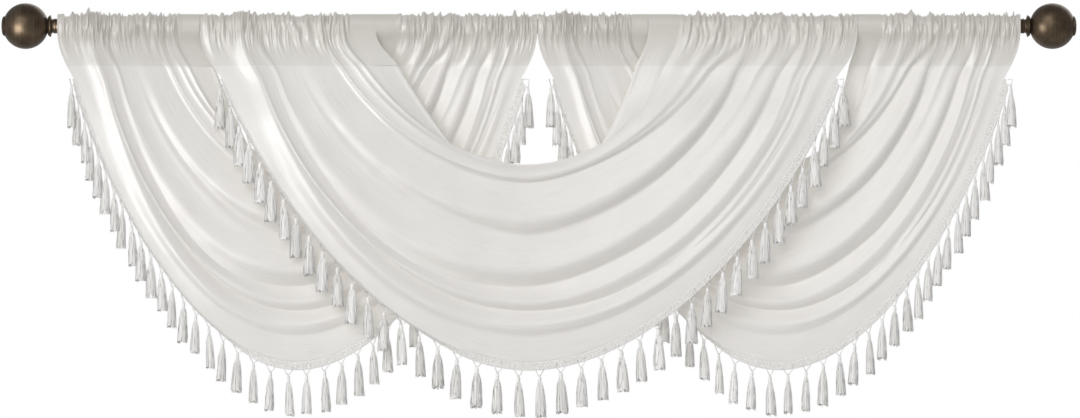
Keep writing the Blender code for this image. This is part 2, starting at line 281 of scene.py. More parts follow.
@dataclass(frozen=True)
class Satin:
    """Polyester satin. Its long floats lie along the cloth, so it has a smooth pearly face with a
    soft bright band along each fold, faint slubs and no visible weave from a step away. In the
    pockets, where the cloth lies in two layers, its colour is painted darker as painted shade
    among the gathers, more so towards the pole."""

    single: str = "#EDEAE5"
    # Painted shade for the pockets, strongest at the pole.
    double: str = "#D6D2C9"
    pocket_shade_at_seam: float = 0.30
    pocket_reach: float = 110.0
    slub: str = "#DBD7CF"
    slub_share: float = 0.35
    roughness: float = 0.37
    sheen: float = 0.10
    slub_size: tuple = (2.4, 70.0, 1000.0)
    crumple_size: tuple = (45.0, 45.0, 45.0)
    drag_size: tuple = (13.0, 500.0, 1000.0)

    def material(self) -> bpy.types.Material:
        """Return the satin, which follows the cloth's own UV map in metres."""
        material, tree, shader = new_material("ivory satin")
        uv = add_node(tree, "ShaderNodeUVMap", {"uv_map": ClothSheet.UV_NAME}).outputs["UV"]
        # The pockets' colour is painted shade among the gathers, darkening from the seam to the
        # pole.
        layers = add_mix(tree, self.pocket_shade_share(tree, uv), self.single, self.double)
        slubs = add_noise(tree, uv, self.slub_size, 3.0)
        faint = add_range(tree, slubs, (0.45, 0.75), (0.0, self.slub_share))
        tree.links.new(add_mix(tree, faint, layers, self.slub), shader.inputs["Base Color"])
        crumple = add_bump(tree, add_noise(tree, uv, self.crumple_size), 0.35, 2.0)
        drag = add_bump(tree, add_noise(tree, uv, self.drag_size), 0.4, 1.2, crumple)
        tree.links.new(add_bump(tree, slubs, 0.25, 0.15, drag), shader.inputs["Normal"])
        shader.inputs["Roughness"].default_value = self.roughness
        shader.inputs["Sheen Weight"].default_value = self.sheen
        return material

    def pocket_shade_share(self, tree: bpy.types.NodeTree, uv: bpy.types.NodeSocket) -> bpy.types.NodeSocket:
        """Return the share of painted shade in a pocket: none below the seam, all at the pole."""
        along = add_node(tree, "ShaderNodeSeparateXYZ", links={0: uv}).outputs["Y"]
        in_pocket = add_node(tree, "ShaderNodeMath", {"operation": "GREATER_THAN", 1: 0.0},
                             {0: along}).outputs[0]
        shade_to_pole = add_range(tree, along, (0.0, self.pocket_reach * MM), (self.pocket_shade_at_seam, 1.0))
        return add_node(tree, "ShaderNodeMath", {"operation": "MULTIPLY"},
                        {0: in_pocket, 1: shade_to_pole}).outputs[0]


@dataclass(frozen=True)
class Yarn:
    """Spun rayon yarn, cut for tassels and plaited for the braid. It is soft and dull, and each
    strand's tone differs a little at random. The tone also holds painted shade in the tassels'
    hollows and in the braid's low places, and a painted highlight on the braid's cord."""

    light: str = "#FFFEFC"
    dark: str = "#DFDCD6"
    roughness: float = 0.60
    sheen: float = 0.35
    fibre_size: tuple = (0.5, 0.5, 9.0)

    def material(self) -> bpy.types.Material:
        """Return the yarn, whose tone, painted shade included, is each strand's own attribute."""
        material, tree, shader = new_material("ivory yarn")
        tone = add_node(tree, "ShaderNodeAttribute", {"attribute_name": TONE}).outputs["Fac"]
        tree.links.new(add_mix(tree, tone, self.light, self.dark), shader.inputs["Base Color"])
        place = add_node(tree, "ShaderNodeTexCoord").outputs["Object"]
        fibres = add_noise(tree, place, self.fibre_size)
        tree.links.new(add_bump(tree, fibres, 0.25, 0.2), shader.inputs["Normal"])
        shader.inputs["Roughness"].default_value = self.roughness
        shader.inputs["Sheen Weight"].default_value = self.sheen
        return material


@dataclass(frozen=True)
class BrushedBronze:
    """Antique bronze lacquer on turned metal. Fine turning marks run round the pole's axis, so it
    shows one soft streak of light along the top, with brown worn through the near-black."""

    dark: str = "#463A2D"
    worn: str = "#70614E"
    worn_share: float = 0.8
    smoothest: float = 0.30
    roughest: float = 0.44
    metallic: float = 0.85
    mark_size: tuple = (1.6, 500.0, 500.0)
    patch_size: tuple = (30.0, 30.0, 30.0)

    def material(self) -> bpy.types.Material:
        """Return the bronze, whose marks are worked out along the pole's axis."""
        material, tree, shader = new_material("antique bronze")
        place = add_node(tree, "ShaderNodeTexCoord").outputs["Object"]
        marks = add_noise(tree, place, self.mark_size, 3.0)
        patches = add_noise(tree, place, self.patch_size, 4.0)
        both = add_node(tree, "ShaderNodeMath", {"operation": "MULTIPLY"},
                        {0: marks, 1: patches}).outputs[0]
        worn = add_range(tree, both, (0.15, 0.42), (0.0, self.worn_share))
        tree.links.new(add_mix(tree, worn, self.dark, self.worn), shader.inputs["Base Color"])
        tree.links.new(add_bump(tree, marks, 0.3, 0.1), shader.inputs["Normal"])
        rough = add_range(tree, marks, (0.3, 0.7), (self.smoothest, self.roughest))
        tree.links.new(rough, shader.inputs["Roughness"])
        shader.inputs["Metallic"].default_value = self.metallic
        return material


@dataclass(frozen=True)
class PaleFloor:
    """Matt white studio floor with a trace of unevenness."""

    light: str = "#F4F3F1"
    dark: str = "#EFEEEB"
    roughness: float = 0.9
    cloud_size: tuple = (1250.0, 1250.0, 1250.0)

    def material(self) -> bpy.types.Material:
        """Return the floor's finish."""
        material, tree, shader = new_material("pale floor")
        place = add_node(tree, "ShaderNodeTexCoord").outputs["Object"]
        cloud = add_noise(tree, place, self.cloud_size)
        tree.links.new(add_mix(tree, cloud, self.light, self.dark), shader.inputs["Base Color"])
        shader.inputs["Roughness"].default_value = self.roughness
        return material


# The cloth's folds

@dataclass(frozen=True)
class FoldLine:
    """One line of the main folds, from the pole to its lowest point and up to the pole again.

    left and right are the places where it leaves the pole, as shares of the swag's half width.
    drop is its lowest point below the pocket's top. The bows round its left side, its right side
    and its fall: 1 is straight and 2 is an ellipse. The last three values say how far it stands
    forward at its left side, its lowest point and its right side. share is its place across the
    cloth, from 0 at the neckline to 1 at the hem.
    """

    name: str
    left: float
    right: float
    drop: float
    bow_left: float
    bow_right: float
    bow_down: float
    out_left: float
    out_mid: float
    out_right: float
    share: float = 0.0


FOLD_LINES = (
    FoldLine("neckline edge", 0.464, 0.364, 485, 1.05, 2.00, 1.30, -7, -34, -24),
    FoldLine("inner turn", 0.512, 0.418, 424, 1.30, 2.00, 1.50, 2, -24, -8),
    FoldLine("roll", 0.562, 0.486, 365, 1.65, 2.00, 1.65, 5, -2, 8),
    FoldLine("second ridge", 0.604, 0.540, 388, 1.75, 1.80, 1.70, 2, 16, -1),
    FoldLine("first crease", 0.632, 0.596, 410, 1.80, 1.65, 1.70, -2, 10, -5),
    FoldLine("broad fold", 0.686, 0.650, 475, 1.80, 1.65, 1.70, 0, 19, 8),
    FoldLine("second crease", 0.735, 0.696, 535, 1.80, 1.65, 1.70, -1, 7, -4),
    FoldLine("thin fold", 0.781, 0.756, 593, 1.95, 1.70, 1.65, 0, 14, 5),
    FoldLine("third crease", 0.811, 0.811, 653, 2.10, 1.70, 1.65, 0, 1, -3),
    FoldLine("narrow fold", 0.842, 0.851, 686, 2.05, 1.80, 1.60, 1, 8, 3),
    FoldLine("fourth crease", 0.866, 0.893, 715, 2.00, 1.90, 1.50, 0, 1, -2),
    FoldLine("edge fold", 0.903, 0.932, 752, 2.00, 1.90, 1.45, 0, 9, 2),
    FoldLine("fifth crease", 0.952, 0.962, 784, 1.95, 1.90, 1.38, 0, 3, -1),
    FoldLine("hem", 0.988, 0.990, 836, 1.90, 1.90, 1.30, -2, 0, 0),
)
FIRST_CREASE = 4
LAST_CREASE = 10
CREST_MOVED = 0.25


@lru_cache(maxsize=None)
def fold_line_at(share: float) -> FoldLine:
    """Return the fold line at any share of the cloth's width, rounded off between the table's."""
    last = len(FOLD_LINES) - 1
    place = min(max(share, 0.0), 1.0) * last
    row = min(int(place), last - 1)
    four = around(FOLD_LINES, row)
    values = {item.name: rounded(*(getattr(line, item.name) for line in four), place - row)
              for item in fields(FoldLine) if item.name not in ("name", "share")}
    return FoldLine(name=four[1].name, share=share, **values)


def crest_moved(share: float) -> float:
    """Return the share in the table of folds whose height the cloth has at a share of its width.

    Each fold rises slowly from its crease, so that its crest lies close above the next crease.
    """
    last = len(FOLD_LINES) - 1
    row = share * last
    if row <= FIRST_CREASE or row >= LAST_CREASE:
        return share
    fold, part = divmod((row - FIRST_CREASE) / 2.0, 1.0)
    part -= CREST_MOVED * math.sin(math.pi * part)
    return (FIRST_CREASE + 2.0 * (fold + part)) / last


# How far the pockets reach on a crease's way, and how much the creases differ between swags
POCKET_WAY = 0.5
SHARE_VARIES = 0.012
HEIGHT_VARIES = 0.5


@dataclass(frozen=True)
class Crease:
    """A ridge of the cloth, or a crease where its height is below 0, on its way over a swag.

    path holds its places. Each is a way along the cloth, a share of the cloth's width and a height
    in millimetres. The way runs from -1.5 at the left pocket's top through the seams at -1 and 1
    to 1.5 at the right pocket's top. inner and outer are the half widths towards the neckline and
    the hem, as shares. A power of 2 gives a round form and a lower one a sharp form.
    """

    path: tuple
    inner: float
    outer: float
    power: float = 2.0

    def at(self, way: float) -> tuple[float, float]:
        """Return the crease's share and height at a way along the cloth, 0 beyond its ends."""
        path = self.path
        if not path[0][0] <= way <= path[-1][0]:
            return 0.0, 0.0
        row = 0
        while row < len(path) - 2 and path[row + 1][0] < way:
            row += 1
        part = (way - path[row][0]) / (path[row + 1][0] - path[row][0])
        four = around(path, row)
        share, height = (rounded(*(place[item] for place in four), part) for item in (1, 2))
        return share, height


CREASES = (
    # The broad white fold beside the left hem, from its puff at the pole
    Crease(((-1.5, 0.770, 10), (-1.38, 0.770, 11), (-1.15, 0.770, 12), (-1, 0.772, 14),
            (-0.87, 0.778, 15), (-0.7, 0.798, 15), (-0.6, 0.815, 14), (-0.45, 0.840, 13),
            (-0.3, 0.865, 10), (-0.1, 0.89, 0)), 0.150, 0.062, 1.6),
    # The facet beside it and the bright edge that leaves it
    Crease(((-1.45, 0.690, 3), (-1.3, 0.660, 5), (-1.1, 0.600, 5), (-1, 0.580, 3),
            (-0.9, 0.580, 2), (-0.8, 0.570, 1), (-0.65, 0.560, 0)), 0.014, 0.030, 1.5),
    # The rolled hem of the neckline
    Crease(((-1.2, 0.014, 0), (-1, 0.014, 2), (-0.5, 0.014, 2.5), (0, 0.014, 2.5),
            (0.5, 0.014, 2.5), (1, 0.014, 2), (1.2, 0.014, 0)), 0.012, 0.012),
    # The folds of the neckline's roll
    Crease(((-1.5, 0.310, 3), (-1.3, 0.305, 4), (-1.12, 0.310, 1), (-1, 0.32, 0)), 0.014, 0.016),
    Crease(((-1.42, 0.245, 2), (-1.25, 0.258, 4), (-1, 0.276, 5), (-0.8, 0.270, 5),
            (-0.5, 0.270, 5), (-0.2, 0.275, 4), (0, 0.28, 3), (0.3, 0.28, 2), (0.6, 0.27, 0)),
           0.022, 0.014, 1.6),
    Crease(((-1.5, 0.162, 3), (-1.3, 0.155, 5), (-1, 0.150, 5), (-0.8, 0.145, 5),
            (-0.6, 0.15, 3.5), (-0.4, 0.155, 1), (-0.2, 0.16, 0)), 0.012, 0.020, 1.5),
    Crease(((-1.2, 0.197, 0), (-1, 0.190, 3), (-0.7, 0.190, 3.5), (-0.4, 0.200, 2),
            (-0.1, 0.21, 0)), 0.010, 0.014, 1.5),
    Crease(((-0.5, 0.21, 0), (-0.25, 0.19, -3), (0, 0.180, -5), (0.2, 0.18, -4), (0.45, 0.17, -2),
            (0.6, 0.15, -3), (0.8, 0.130, -4), (1, 0.120, -4), (1.3, 0.118, -2), (1.45, 0.12, 0)),
           0.016, 0.020, 1.4),
    # The creases between the main folds, steep on the neckline's side
    Crease(((-1.1, 0.318, 0), (-0.95, 0.312, -3), (-0.8, 0.308, -3), (-0.5, 0.308, -4),
            (-0.2, 0.308, -5), (0, 0.303, -5), (0.3, 0.300, -6), (0.6, 0.312, -5),
            (0.87, 0.327, -5), (1, 0.340, -5), (1.15, 0.37, -2), (1.3, 0.4, 0)),
           0.013, 0.036, 1.3),
    Crease(((-1.1, 0.47, 0), (-0.9, 0.458, -0.5), (-0.7, 0.445, -1), (-0.45, 0.438, -2),
            (-0.2, 0.448, -4), (0, 0.455, -3.5), (0.3, 0.450, -5), (0.6, 0.458, -6),
            (0.87, 0.450, -5), (1, 0.435, -4), (1.2, 0.42, 0)), 0.013, 0.030, 1.3),
    Crease(((-0.7, 0.61, 0), (-0.5, 0.63, -2), (-0.3, 0.645, -4), (-0.15, 0.630, -6),
            (0, 0.620, -7), (0.3, 0.612, -5), (0.5, 0.622, -5), (0.85, 0.602, -5), (1, 0.607, -4),
            (1.3, 0.64, 0)), 0.014, 0.038, 1.3),
    Crease(((-0.75, 0.72, 0), (-0.5, 0.745, -4), (-0.25, 0.765, -6), (0, 0.765, -6),
            (0.2, 0.775, -5), (0.4, 0.790, -3), (0.6, 0.82, -2), (0.85, 0.83, -1), (1.0, 0.84, 0)),
           0.012, 0.030, 1.3),
    Crease(((-0.4, 0.92, 0), (-0.2, 0.905, -3), (0, 0.900, -5), (0.3, 0.905, -4), (0.6, 0.92, -2),
            (0.8, 0.93, 0)), 0.026, 0.040, 1.6),
    # The crests of the main folds
    Crease(((-1.0, 0.375, 0), (-0.7, 0.360, 1), (-0.3, 0.385, 3), (0, 0.405, 4), (0.3, 0.400, 5),
            (0.6, 0.395, 6), (0.9, 0.385, 5), (1.1, 0.38, 0)), 0.040, 0.034),
    Crease(((-0.95, 0.47, 0), (-0.8, 0.472, 1.5), (-0.55, 0.468, 2), (-0.3, 0.480, 2),
            (-0.1, 0.49, 0)), 0.018, 0.020),
    # The valley between the broad white fold and the middle, left
    Crease(((-0.8, 0.60, 0), (-0.55, 0.600, -3), (-0.35, 0.600, -3), (-0.2, 0.60, 0)),
           0.120, 0.110),
    # More crests of the main folds, from the middle to the right
    Crease(((-0.4, 0.58, 0), (-0.15, 0.573, 4), (0, 0.570, 5), (0.3, 0.560, 5), (0.6, 0.550, 3),
            (0.85, 0.54, 0)), 0.060, 0.022),
    Crease(((-0.5, 0.69, 0), (-0.3, 0.695, 4), (0, 0.705, 4), (0.2, 0.700, 5), (0.5, 0.698, 6),
            (0.8, 0.690, 6), (1, 0.672, 6), (1.3, 0.668, 4), (1.45, 0.69, 0)), 0.056, 0.024),
    Crease(((-0.1, 0.83, 0), (0.1, 0.835, 3), (0.3, 0.845, 3), (0.5, 0.850, 2), (0.7, 0.86, 0)),
           0.030, 0.020),
    # The sharp edge that crosses the right pocket, and the soft folds beside it
    Crease(((0.3, 0.28, 0), (0.6, 0.288, 3), (0.85, 0.303, 4), (1, 0.315, 5), (1.1, 0.335, 5),
            (1.25, 0.385, 5), (1.38, 0.430, 4), (1.5, 0.455, 3)), 0.026, 0.011, 1.5),
    Crease(((0.3, 0.23, 0), (0.6, 0.235, 3), (0.85, 0.245, 5), (1, 0.250, 6), (1.15, 0.250, 6),
            (1.35, 0.270, 5), (1.5, 0.280, 4)), 0.034, 0.028),
    Crease(((0.65, 0.50, 0), (0.85, 0.510, 3), (1, 0.515, 5), (1.2, 0.530, 6), (1.35, 0.540, 5),
            (1.5, 0.545, 3)), 0.020, 0.016, 1.6),
    Crease(((0.1, 0.80, 0), (0.4, 0.800, 2), (0.6, 0.790, 4), (0.85, 0.778, 5), (1, 0.760, 5),
            (1.2, 0.757, 4), (1.45, 0.75, 2)), 0.014, 0.016, 1.5),
    # Hollows and small gathers at the pole, left
    Crease(((-1.5, 0.950, 2), (-1.3, 0.945, 3), (-1.1, 0.945, 0)), 0.012, 0.014),
    Crease(((-1.5, 0.908, -3), (-1.4, 0.906, -6), (-1.28, 0.905, 0)), 0.014, 0.012, 1.6),
    Crease(((-1.5, 0.880, 3), (-1.32, 0.878, 3), (-1.2, 0.88, 0)), 0.009, 0.009),
    Crease(((-1.5, 0.862, -4), (-1.4, 0.860, -6), (-1.3, 0.86, 0)), 0.008, 0.008),
    Crease(((-1.5, 0.640, -2), (-1.38, 0.620, -5), (-1.25, 0.600, -4), (-1.1, 0.55, 0)),
           0.050, 0.030),
    Crease(((-1.5, 0.515, 2), (-1.4, 0.512, 3), (-1.24, 0.500, 3), (-1.15, 0.49, 0)), 0.009, 0.009),
    Crease(((-1.5, 0.482, -3), (-1.35, 0.478, -4), (-1.25, 0.475, 0)), 0.010, 0.010),
    Crease(((-1.5, 0.450, 3), (-1.42, 0.430, 5), (-1.35, 0.410, 5), (-1.26, 0.39, 0)),
           0.011, 0.009, 1.5),
    Crease(((-1.5, 0.415, -3), (-1.42, 0.400, -6), (-1.34, 0.385, -6), (-1.25, 0.37, 0)),
           0.014, 0.010),
    Crease(((-1.5, 0.368, 2), (-1.4, 0.366, 5), (-1.3, 0.364, 4), (-1.15, 0.36, 0)), 0.009, 0.010),
    Crease(((-1.5, 0.338, -2), (-1.36, 0.334, -4), (-1.2, 0.33, 0)), 0.010, 0.010),
    Crease(((-1.5, 0.205, -3), (-1.38, 0.204, -4), (-1.2, 0.21, 0)), 0.016, 0.014),
    # Hollows and small gathers at the pole, right
    Crease(((1.33, 0.140, 0), (1.42, 0.140, -4), (1.5, 0.140, -3)), 0.010, 0.010),
    Crease(((1.2, 0.165, 0), (1.35, 0.165, 3), (1.5, 0.163, 3)), 0.012, 0.010),
    Crease(((1.33, 0.180, 0), (1.42, 0.180, -5), (1.5, 0.180, -2)), 0.008, 0.008),
    Crease(((1.2, 0.192, 0), (1.36, 0.192, 3), (1.5, 0.192, 3)), 0.008, 0.008),
    Crease(((1.33, 0.207, 0), (1.42, 0.207, -5), (1.5, 0.207, -2)), 0.008, 0.008),
    Crease(((1.3, 0.236, 0), (1.4, 0.236, -5), (1.5, 0.236, -2)), 0.012, 0.010),
    Crease(((1.3, 0.312, 0), (1.42, 0.318, -4), (1.5, 0.320, -2)), 0.010, 0.008),
    Crease(((1.28, 0.328, 0), (1.38, 0.340, -5), (1.5, 0.347, -3)), 0.009, 0.007, 1.6),
    Crease(((1.28, 0.350, 0), (1.38, 0.362, -5), (1.5, 0.368, -3)), 0.009, 0.007, 1.6),
    Crease(((1.15, 0.365, 0), (1.3, 0.378, 3), (1.5, 0.388, 4)), 0.010, 0.008),
    Crease(((1.25, 0.392, 0), (1.38, 0.402, -5), (1.5, 0.408, -3)), 0.008, 0.008),
    Crease(((1.3, 0.475, 0), (1.42, 0.480, -5), (1.5, 0.482, -3)), 0.012, 0.009, 1.6),
    Crease(((1.2, 0.495, 0), (1.35, 0.500, 3), (1.5, 0.502, 3)), 0.008, 0.008),
    Crease(((1.2, 0.572, 0), (1.34, 0.576, -5), (1.5, 0.580, -3)), 0.013, 0.010),
    Crease(((1.2, 0.607, 0), (1.36, 0.612, 3), (1.5, 0.615, 3)), 0.009, 0.009),
    Crease(((1.25, 0.630, 0), (1.38, 0.634, -5), (1.5, 0.638, -3)), 0.010, 0.009, 1.6),
    Crease(((1.25, 0.720, 0), (1.38, 0.726, -6), (1.5, 0.728, -4)), 0.010, 0.007, 1.6),
    Crease(((1.2, 0.790, 0), (1.33, 0.800, 2), (1.5, 0.80, 3)), 0.008, 0.008),
    Crease(((1.2, 0.825, 0), (1.36, 0.825, -6), (1.5, 0.825, -4)), 0.022, 0.018),
    Crease(((1.15, 0.868, 0), (1.33, 0.866, 3), (1.5, 0.865, 3)), 0.010, 0.010),
    Crease(((1.2, 0.892, 0), (1.38, 0.892, -4), (1.5, 0.892, -3)), 0.009, 0.009),
)


@lru_cache(maxsize=None)
def creases_at(way: float, variant: float) -> tuple:
    """Return each crease that is open at a way along a swag, as share, height, widths and power.

    Args:
        way: The way along the cloth, from -1.5 to 1.5.
        variant: A number that differs from swag to swag, so that no two hang quite alike.

    Returns:
        One tuple for each crease that has some height there.
    """
    found = []
    for number, crease in enumerate(CREASES):
        share, height = crease.at(way)
        if height:
            place = Vector((3.7 * number, 1.3 * way, variant))
            share += SHARE_VARIES * noise.noise(place) * variant
            height *= 1.0 + HEIGHT_VARIES * noise.noise(place + Vector((0.0, 0.0, 9.5))) * variant
            found.append((share, height, crease.inner, crease.outer, crease.power))
    return tuple(found)


@dataclass
class Swag:
    """The hanging shape of one waterfall swag: two gathered pole pockets and the cloth between.

    The swag spans the pole from centre - half_width to centre + half_width. seam_neck and seam_hem
    are how far forward its pocket seam hangs at the neckline and at the hem, hang is how far
    forward it hangs below, and hem_hang is the same at its lowest edge. variant says how far its
    creases differ from the table's. left_pocket and right_pocket widen or narrow its pockets, so
    that each one ends beside its neighbour's.
    """

    name: str
    centre: float
    half_width: float
    seam_neck: float
    seam_hem: float
    hang: float
    hem_hang: float
    fold_scale: float
    variant: float
    left_pocket: float = 1.0
    right_pocket: float = 1.0

    top: float = 31.0
    crest: float = 28.5
    seam: float = -96.0
    sleeve_side: float = 19.2
    sleeve_upper: float = 12.0
    sleeve_lower: float = -12.0
    sleeve_middle: float = -40.0
    fall_power: float = 1.4
    gather_room: float = 4.5
    gather_from: float = 0.10
    gather_until: float = 0.98
    flare: float = 0.012
    drift_start: float = -8.0
    drift_end_hem: float = -150.0
    fold_full: float = 100.0
    hang_below: float = 160.0
    low_shift: float = -0.05
    low_share: float = 0.25
    uneven: float = 1.6
    uneven_size: float = 80.0
    pocket_fold: float = 0.4
    pucker: float = 15.0
    pucker_size: float = 0.024
    tuck: float = 10.0
    tuck_size: float = 0.009
    pucker_fall: float = -75.0
    pucker_height: float = 60.0
    pleat_level: float = 0.28
    crease_ends: float = 4.0
    gather_grows: float = 0.06
    gather_fades: float = 0.05
    pressed: float = 1.0
    seam_lap: float = 1.0
    uneven_apart: float = 7.0

    def across(self, side: Side, line: FoldLine, spread: float, height: float) -> float:
        """Return the X of a line of the cloth.

        Args:
            side: The half of the swag.
            line: The fold line.
            spread: 0 at the line's lowest point and 1 at the pole.
            height: Millimetres above the pole's axis. Near the pole the cloth hangs straight down.

        Returns:
            X in millimetres.
        """
        low = self.low_shift * (1.0 - ease(line.share / self.low_share))
        inward = ((1.0 - line.left) * self.left_pocket if side is Side.LEFT
                  else (1.0 - line.right) * self.right_pocket)
        reach = side.value * (1.0 - inward) - low
        drift_end = self.seam + (self.drift_end_hem - self.seam) * line.share
        drift = ease((self.drift_start - height) / (self.drift_start - drift_end))
        straight = 1.0 + self.flare * line.share
        spread_here = straight + (spread - straight) * drift
        return self.centre + self.half_width * (low + reach * spread_here)

    def seam_forward(self, share: float) -> float:
        """Return how far forward the pocket's seam hangs at a share of the cloth's width."""
        return self.seam_neck + (self.seam_hem - self.seam_neck) * share

    def creased(self, share: float, way: float) -> float:
        """Return how far the creases lift the cloth, in millimetres."""
        total = 0.0
        for at, height, inner, outer, power in creases_at(round(way, 4), self.variant):
            offset = share - at
            away = -offset / inner if offset < 0 else offset / outer
            if away < self.crease_ends:
                total += height * math.exp(-away ** power)
        return total

    def in_pocket(self, side: Side, line: FoldLine, height: float) -> float:
        """Return how far the gathers lift the front of a pocket at a height, in millimetres."""
        way = side.value * (1.0 + POCKET_WAY * (height - self.seam) / (self.crest - self.seam))
        total = self.creased(line.share, way)
        gathered = ease((height - self.pucker_fall) / (self.sleeve_upper - self.pucker_fall))
        for size, amount in ((self.pucker_size, self.pucker), (self.tuck_size, self.tuck)):
            place = Vector((line.share / size, height / self.pucker_height,
                            self.centre + side.value * size))
            pleat = self.pleat_level - abs(noise.noise(place))
            total -= amount * pleat * self.room(line.share) / self.gather_room * gathered
        relief = fold_line_at(crest_moved(line.share))
        out = relief.out_left if side is Side.LEFT else relief.out_right
        low = ease((self.drift_start - height) / (self.drift_start - self.seam))
        total += self.pocket_fold * self.fold_scale * out * low
        if height > self.sleeve_middle:
            total = max(total, -self.room(line.share) - self.pressed)
        return total

    def room(self, share: float) -> float:
        """Return the loose room in the pocket, none on the flat strip beside the neckline."""
        grown = ease((share - self.gather_from) / self.gather_grows)
        return self.gather_room * grown * ease((self.gather_until - share) / self.gather_fades)

    def sleeve(self, side: Side, line: FoldLine, steps: int) -> list[Vector]:
        """Return the pocket's section at one line, from its back seam over the pole to its front.

        Args:
            side: The half of the swag.
            line: The fold line.
            steps: How many points lie in each stretch of the section.

        Returns:
            Points in millimetres, the last one just above the front seam.
        """
        out = self.sleeve_side + self.room(line.share)
        seam = self.seam_forward(line.share)
        fall = (self.sleeve_lower - self.sleeve_middle) / (self.sleeve_lower - self.seam)
        fast = 1.0 - (1.0 - fall) ** self.fall_power
        front_fall, back_fall = (fast, fall) if self.seam_neck < 0 else (fall, fast)
        section = [
            (seam - self.seam_lap, self.seam),
            (-out + (seam + out) * back_fall, self.sleeve_middle),
            (-out, self.sleeve_lower), (-out, self.sleeve_upper), (0.0, self.crest),
            (out, self.sleeve_upper), (out, self.sleeve_lower),
            (out + (seam - out) * front_fall, self.sleeve_middle), (seam, self.seam)]
        points = []
        over_pole = section.index((0.0, self.crest))
        for number in range(len(section) - 1):
            four = around(section, number)
            for step in range(steps):
                forward, height = (rounded(*(pair[axis] for pair in four), step / steps)
                                   for axis in (0, 1))
                behind = number < over_pole
                points.append(self.sleeve_point(side, line, forward, height, behind))
        return points

    def sleeve_point(self, side: Side, line: FoldLine, forward: float, height: float,
                     behind: bool) -> Vector:
        """Return one point of the pocket with its gathers, in millimetres."""
        relief = self.in_pocket(side, line, height)
        if height > self.sleeve_lower:
            outward = Vector((forward, max(height, 0.0))).normalized()
            forward, lifted = forward + outward.x * relief, height + outward.y * relief
        else:
            part = ease((self.sleeve_lower - height) / (self.sleeve_lower - self.seam))
            forward += relief * (2.0 * part - 1.0) if behind else relief
            lifted = height
        sunk = min(max((self.top - height) / line.drop, 0.0), 1.0)
        bow = line.bow_left if side is Side.LEFT else line.bow_right
        spread = (1.0 - sunk ** line.bow_down) ** (1.0 / bow)
        return Vector((self.across(side, line, spread, height), -forward, lifted))

    def hanging_point(self, side: Side, line: FoldLine, up: float) -> Vector:
        """Return a point of the cloth below the pockets.

        Args:
            side: The half of the swag.
            line: The fold line.
            up: 0 at the line's lowest point and 1 at the pocket's seam.

        Returns:
            The point in millimetres.
        """
        relief = fold_line_at(crest_moved(line.share))
        bow, out_side = ((line.bow_left, relief.out_left) if side is Side.LEFT
                         else (line.bow_right, relief.out_right))
        seam_share = (self.top - self.seam) / line.drop
        angle = math.acos(seam_share ** (line.bow_down / 2.0)) * up
        spread = math.sin(angle) ** (2.0 / bow)
        height = self.top - line.drop * math.cos(angle) ** (2.0 / line.bow_down)
        below = self.seam - height
        at_side = math.sin(angle) ** 2
        fold = out_side * at_side + relief.out_mid * (1.0 - at_side)
        fold *= self.pocket_fold + (1.0 - self.pocket_fold) * ease(below / self.fold_full)
        fold = fold * self.fold_scale + self.creased(line.share, side.value * up)
        hang = self.hang + (self.hem_hang - self.hang) * line.share ** 2
        seam = self.seam_forward(line.share)
        level = seam + (hang - seam) * ease(below / self.hang_below)
        x = self.across(side, line, spread, height)
        place = Vector((x, height, self.uneven_apart * self.centre)) / self.uneven_size
        loose = self.uneven * noise.noise(place) * ease(below / self.fold_full)
        forward = level + fold + loose
        return Vector((x, -forward, height))


# The pieces of a swag

@dataclass
class ClothSheet:
    """The satin of one swag: a sheet bent into its two pole pockets and draped between them."""

    UV_NAME = "cloth"

    swag: Swag
    satin: bpy.types.Material
    columns_per_fold: int = 19
    sleeve_steps: int = 4
    hanging_rows: int = 64
    thickness: float = 0.6
    cloth_width: float = 620.0

    def cloth_line(self, share: float) -> tuple[list[Vector], list[float]]:
        """Return one line of the cloth, and each point's way along it from the nearer seam.

        Args:
            share: The line's place across the cloth.

        Returns:
            Points in millimetres, from the left pocket's back seam to the right one's, and
            distances that are above 0 in the pockets and below 0 between them.
        """
        line = fold_line_at(share)
        swag = self.swag
        halves = []
        for side in Side:
            pocket = swag.sleeve(side, line, self.sleeve_steps)
            hanging = [swag.hanging_point(side, line, row / self.hanging_rows)
                       for row in range(self.hanging_rows, -1, -1)]
            points = pocket + hanging
            ways = [0.0]
            for here, after in zip(points, points[1:]):
                ways.append(ways[-1] + (after - here).length)
            seam_way = ways[len(pocket)]
            halves.append((points, [seam_way - way for way in ways]))
        (left, left_ways), (right, right_ways) = halves
        return left + right[-2::-1], left_ways + right_ways[-2::-1]

    def build(self) -> bpy.types.Object:
        """Build the sheet as a grid that is laid along its fold lines."""
        columns = (len(FOLD_LINES) - 1) * self.columns_per_fold
        lines = [self.cloth_line(column / columns) for column in range(columns + 1)]
        rows = len(lines[0][0]) - 1
        bm = bmesh.new()
        bmesh.ops.create_grid(bm, x_segments=columns, y_segments=rows, size=1.0)
        uv_layer = bm.loops.layers.uv.new(self.UV_NAME)
        places = {}
        for vert in bm.verts:
            column = round((vert.co.x + 1.0) / 2.0 * columns)
            row = round((vert.co.y + 1.0) / 2.0 * rows)
            points, ways = lines[column]
            vert.co = points[row] * MM
            places[vert] = (column / columns * self.cloth_width * MM, ways[row] * MM)
        for face in bm.faces:
            for loop in face.loops:
                loop[uv_layer].uv = places[loop.vert]
        name = self.swag.name
        cloth = add_piece(f"cloth_{name}", bm, self.satin, (f"panel_{name}",))
        thicken(cloth, self.thickness)
        return cloth


